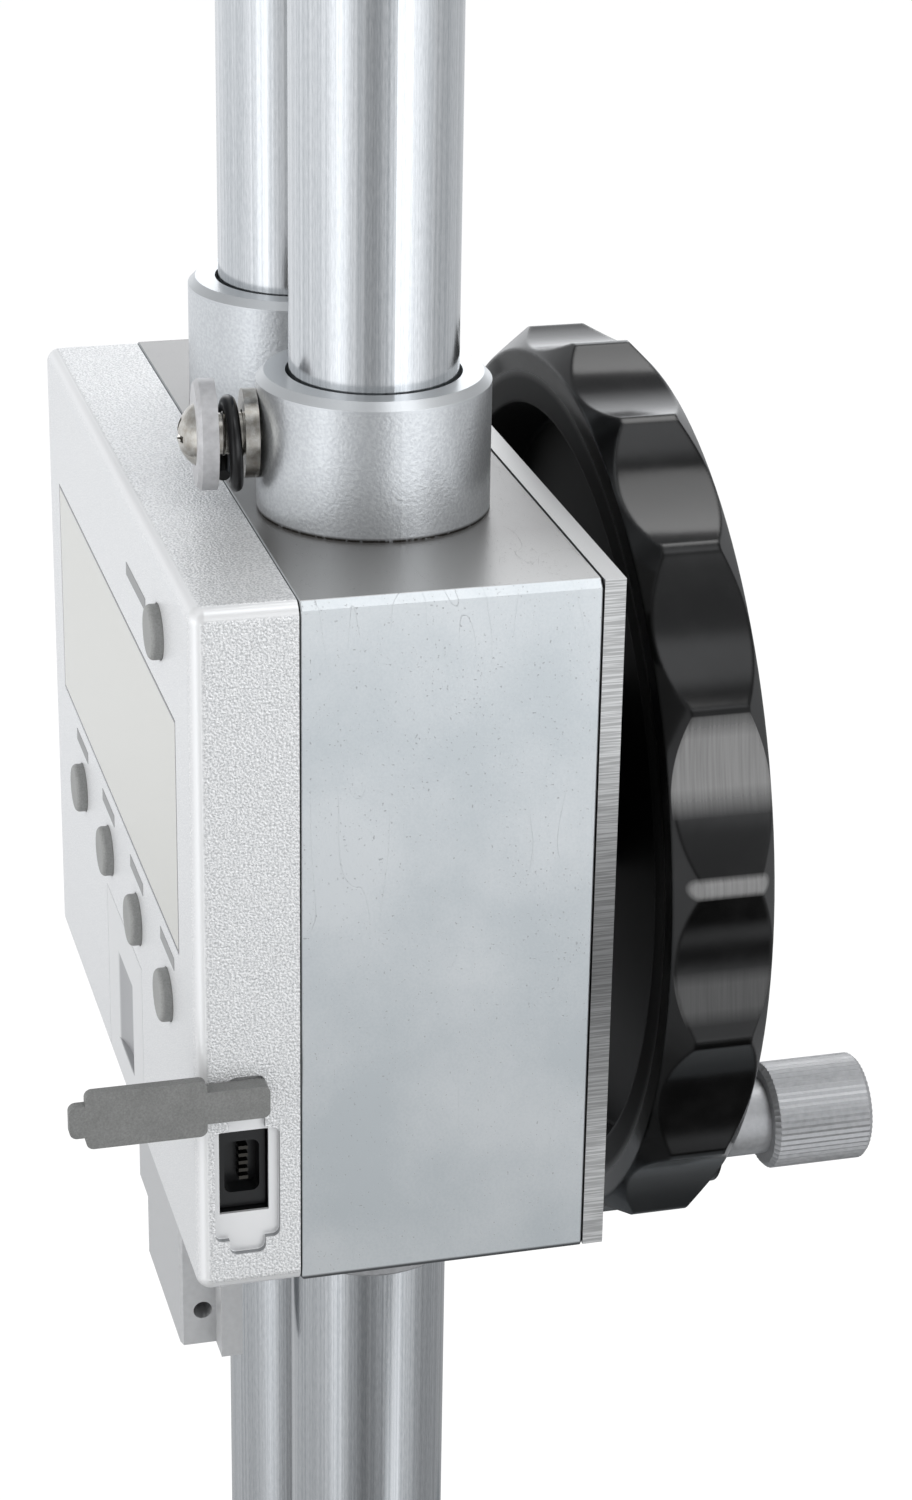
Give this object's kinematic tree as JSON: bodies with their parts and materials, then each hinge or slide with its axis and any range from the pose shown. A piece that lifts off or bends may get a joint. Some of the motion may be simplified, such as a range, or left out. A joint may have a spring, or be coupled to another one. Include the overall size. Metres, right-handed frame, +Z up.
{
  "type": "digital height gauge",
  "caption": "Column height gauge with a sliding head, digital display housing, scalloped handwheel with crank, column clamp and measuring jaw on a cast base.",
  "frame": {"origin": "on the base's ground underside, midway between the two columns", "axes": "+Z up along the columns, the display faces -Y, the handwheel is at +Y, the clamp and the data port are at +X"},
  "size_m": [0.15, 0.1532, 0.4794],
  "materials": {
    "painted_iron": "hammered enamel",
    "ground_steel": "ground and polished",
    "bright_steel": "bare machined",
    "black_steel": "black oxide",
    "spring_steel": "oiled",
    "head_aluminium": "satin anodised",
    "collar_aluminium": "pebbled satin",
    "bushing_brass": "turned",
    "silver_abs": "silver lacquer with fine grain",
    "window_clear": "clear",
    "lcd_glass": "blank reflective panel",
    "contact_rubber": "soft",
    "board_green": "solder mask",
    "carrier_black": "moulded",
    "scale_film": "printed film",
    "socket_black": "moulded",
    "gold_plate": "gold plated",
    "key_rubber": "fine grain",
    "wheel_black": "polished phenolic",
    "crank_aluminium": "knurled",
    "nickel": "nickel plated",
    "cell_steel": "stainless"
  },
  "bodies": {
    "base": {"base": "painted_iron", "column_right": "ground_steel", "column_left": "ground_steel", "column_screws": "black_steel", "scale_beam": "bright_steel", "scale_strip": "scale_film", "rack": "bright_steel", "top_bridge": "head_aluminium", "bridge_screws": "black_steel"},
    "head": {"head_block": "head_aluminium", "back_plate": "bright_steel", "back_plate_screws": "black_steel", "clamp_collar": "collar_aluminium", "plain_collar": "collar_aluminium", "upper_bushes": "bushing_brass", "lower_bushes": "bright_steel", "shaft_bush": "bushing_brass", "drag_spring": "spring_steel", "clamp_shoe": "bushing_brass", "clamp_washer": "nickel", "clamp_spring": "spring_steel", "jaw_plate": "bright_steel", "measuring_jaw": "bright_steel", "jaw_plate_screws": "black_steel", "jaw_screws": "black_steel", "housing": "silver_abs", "housing_screws": "black_steel", "lcd_window": "window_clear", "lcd_panel": "lcd_glass", "zebra_strips": "contact_rubber", "main_board": "board_green", "board_screws": "nickel", "reader_carrier": "carrier_black", "reader_board": "board_green", "carrier_screws": "nickel", "port_connector": "socket_black", "port_contacts": "gold_plate", "battery": "cell_steel", "battery_clips": "nickel"},
    "handwheel": {"pinion_shaft": "bright_steel", "handwheel": "wheel_black", "wheel_washer": "nickel", "wheel_nut": "nickel", "crank_axle": "nickel"},
    "clamp": {"clamp_screw": "nickel", "clamp_knob": "crank_aluminium"},
    "crank_grip": {"crank_grip": "crank_aluminium"},
    "port_flap": {"port_flap": "key_rubber"},
    "battery_cover": {"battery_cover": "silver_abs"},
    "button_1": {"button_1": "key_rubber"},
    "button_2": {"button_2": "key_rubber"},
    "button_3": {"button_3": "key_rubber"},
    "button_4": {"button_4": "key_rubber"},
    "button_5": {"button_5": "key_rubber"}
  },
  "joints": [
    {"name": "head_slide", "type": "slide", "parent": "base", "child": "head", "axis": [0, 0, 1], "range_m": [-0.1058, 0.1942]},
    {"name": "handwheel_spin", "type": "hinge", "parent": "head", "child": "handwheel", "pos_m": [0, 0.036, 0.2043], "axis": [0, 1, 0], "range_deg": [-2321, 1266]},
    {"name": "crank_grip_spin", "type": "hinge", "parent": "handwheel", "child": "crank_grip", "pos_m": [0.03302, 0.052, 0.16877], "axis": [0, 1, 0], "continuous": true},
    {"name": "clamp_turn", "type": "hinge", "parent": "head", "child": "clamp", "pos_m": [0.02115, 0, 0.2604], "axis": [-0.1045, -0.9945, 0], "range_deg": [-90, 180]},
    {"name": "port_flap_swing", "type": "hinge", "parent": "head", "child": "port_flap", "pos_m": [0.0525, -0.0221, 0.1909], "axis": [1, 0, 0], "range_deg": [0, 90]},
    {"name": "battery_cover_slide", "type": "slide", "parent": "head", "child": "battery_cover", "axis": [0, 0, -1], "range_m": [0, 0.022]},
    {"name": "button_1_press", "type": "slide", "parent": "head", "child": "button_1", "axis": [0, 1, 0], "range_m": [0, 0.0007], "stiffness_N_per_m": 1500},
    {"name": "button_2_press", "type": "slide", "parent": "head", "child": "button_2", "axis": [0, 1, 0], "range_m": [0, 0.0007], "stiffness_N_per_m": 1500},
    {"name": "button_3_press", "type": "slide", "parent": "head", "child": "button_3", "axis": [0, 1, 0], "range_m": [0, 0.0007], "stiffness_N_per_m": 1500},
    {"name": "button_4_press", "type": "slide", "parent": "head", "child": "button_4", "axis": [0, 1, 0], "range_m": [0, 0.0007], "stiffness_N_per_m": 1500},
    {"name": "button_5_press", "type": "slide", "parent": "head", "child": "button_5", "axis": [0, 1, 0], "range_m": [0, 0.0007], "stiffness_N_per_m": 1500}
  ],
  "couplings": [
    {"joint": "handwheel_spin", "follows": "head_slide", "rad_per_m": -208.33}
  ]
}
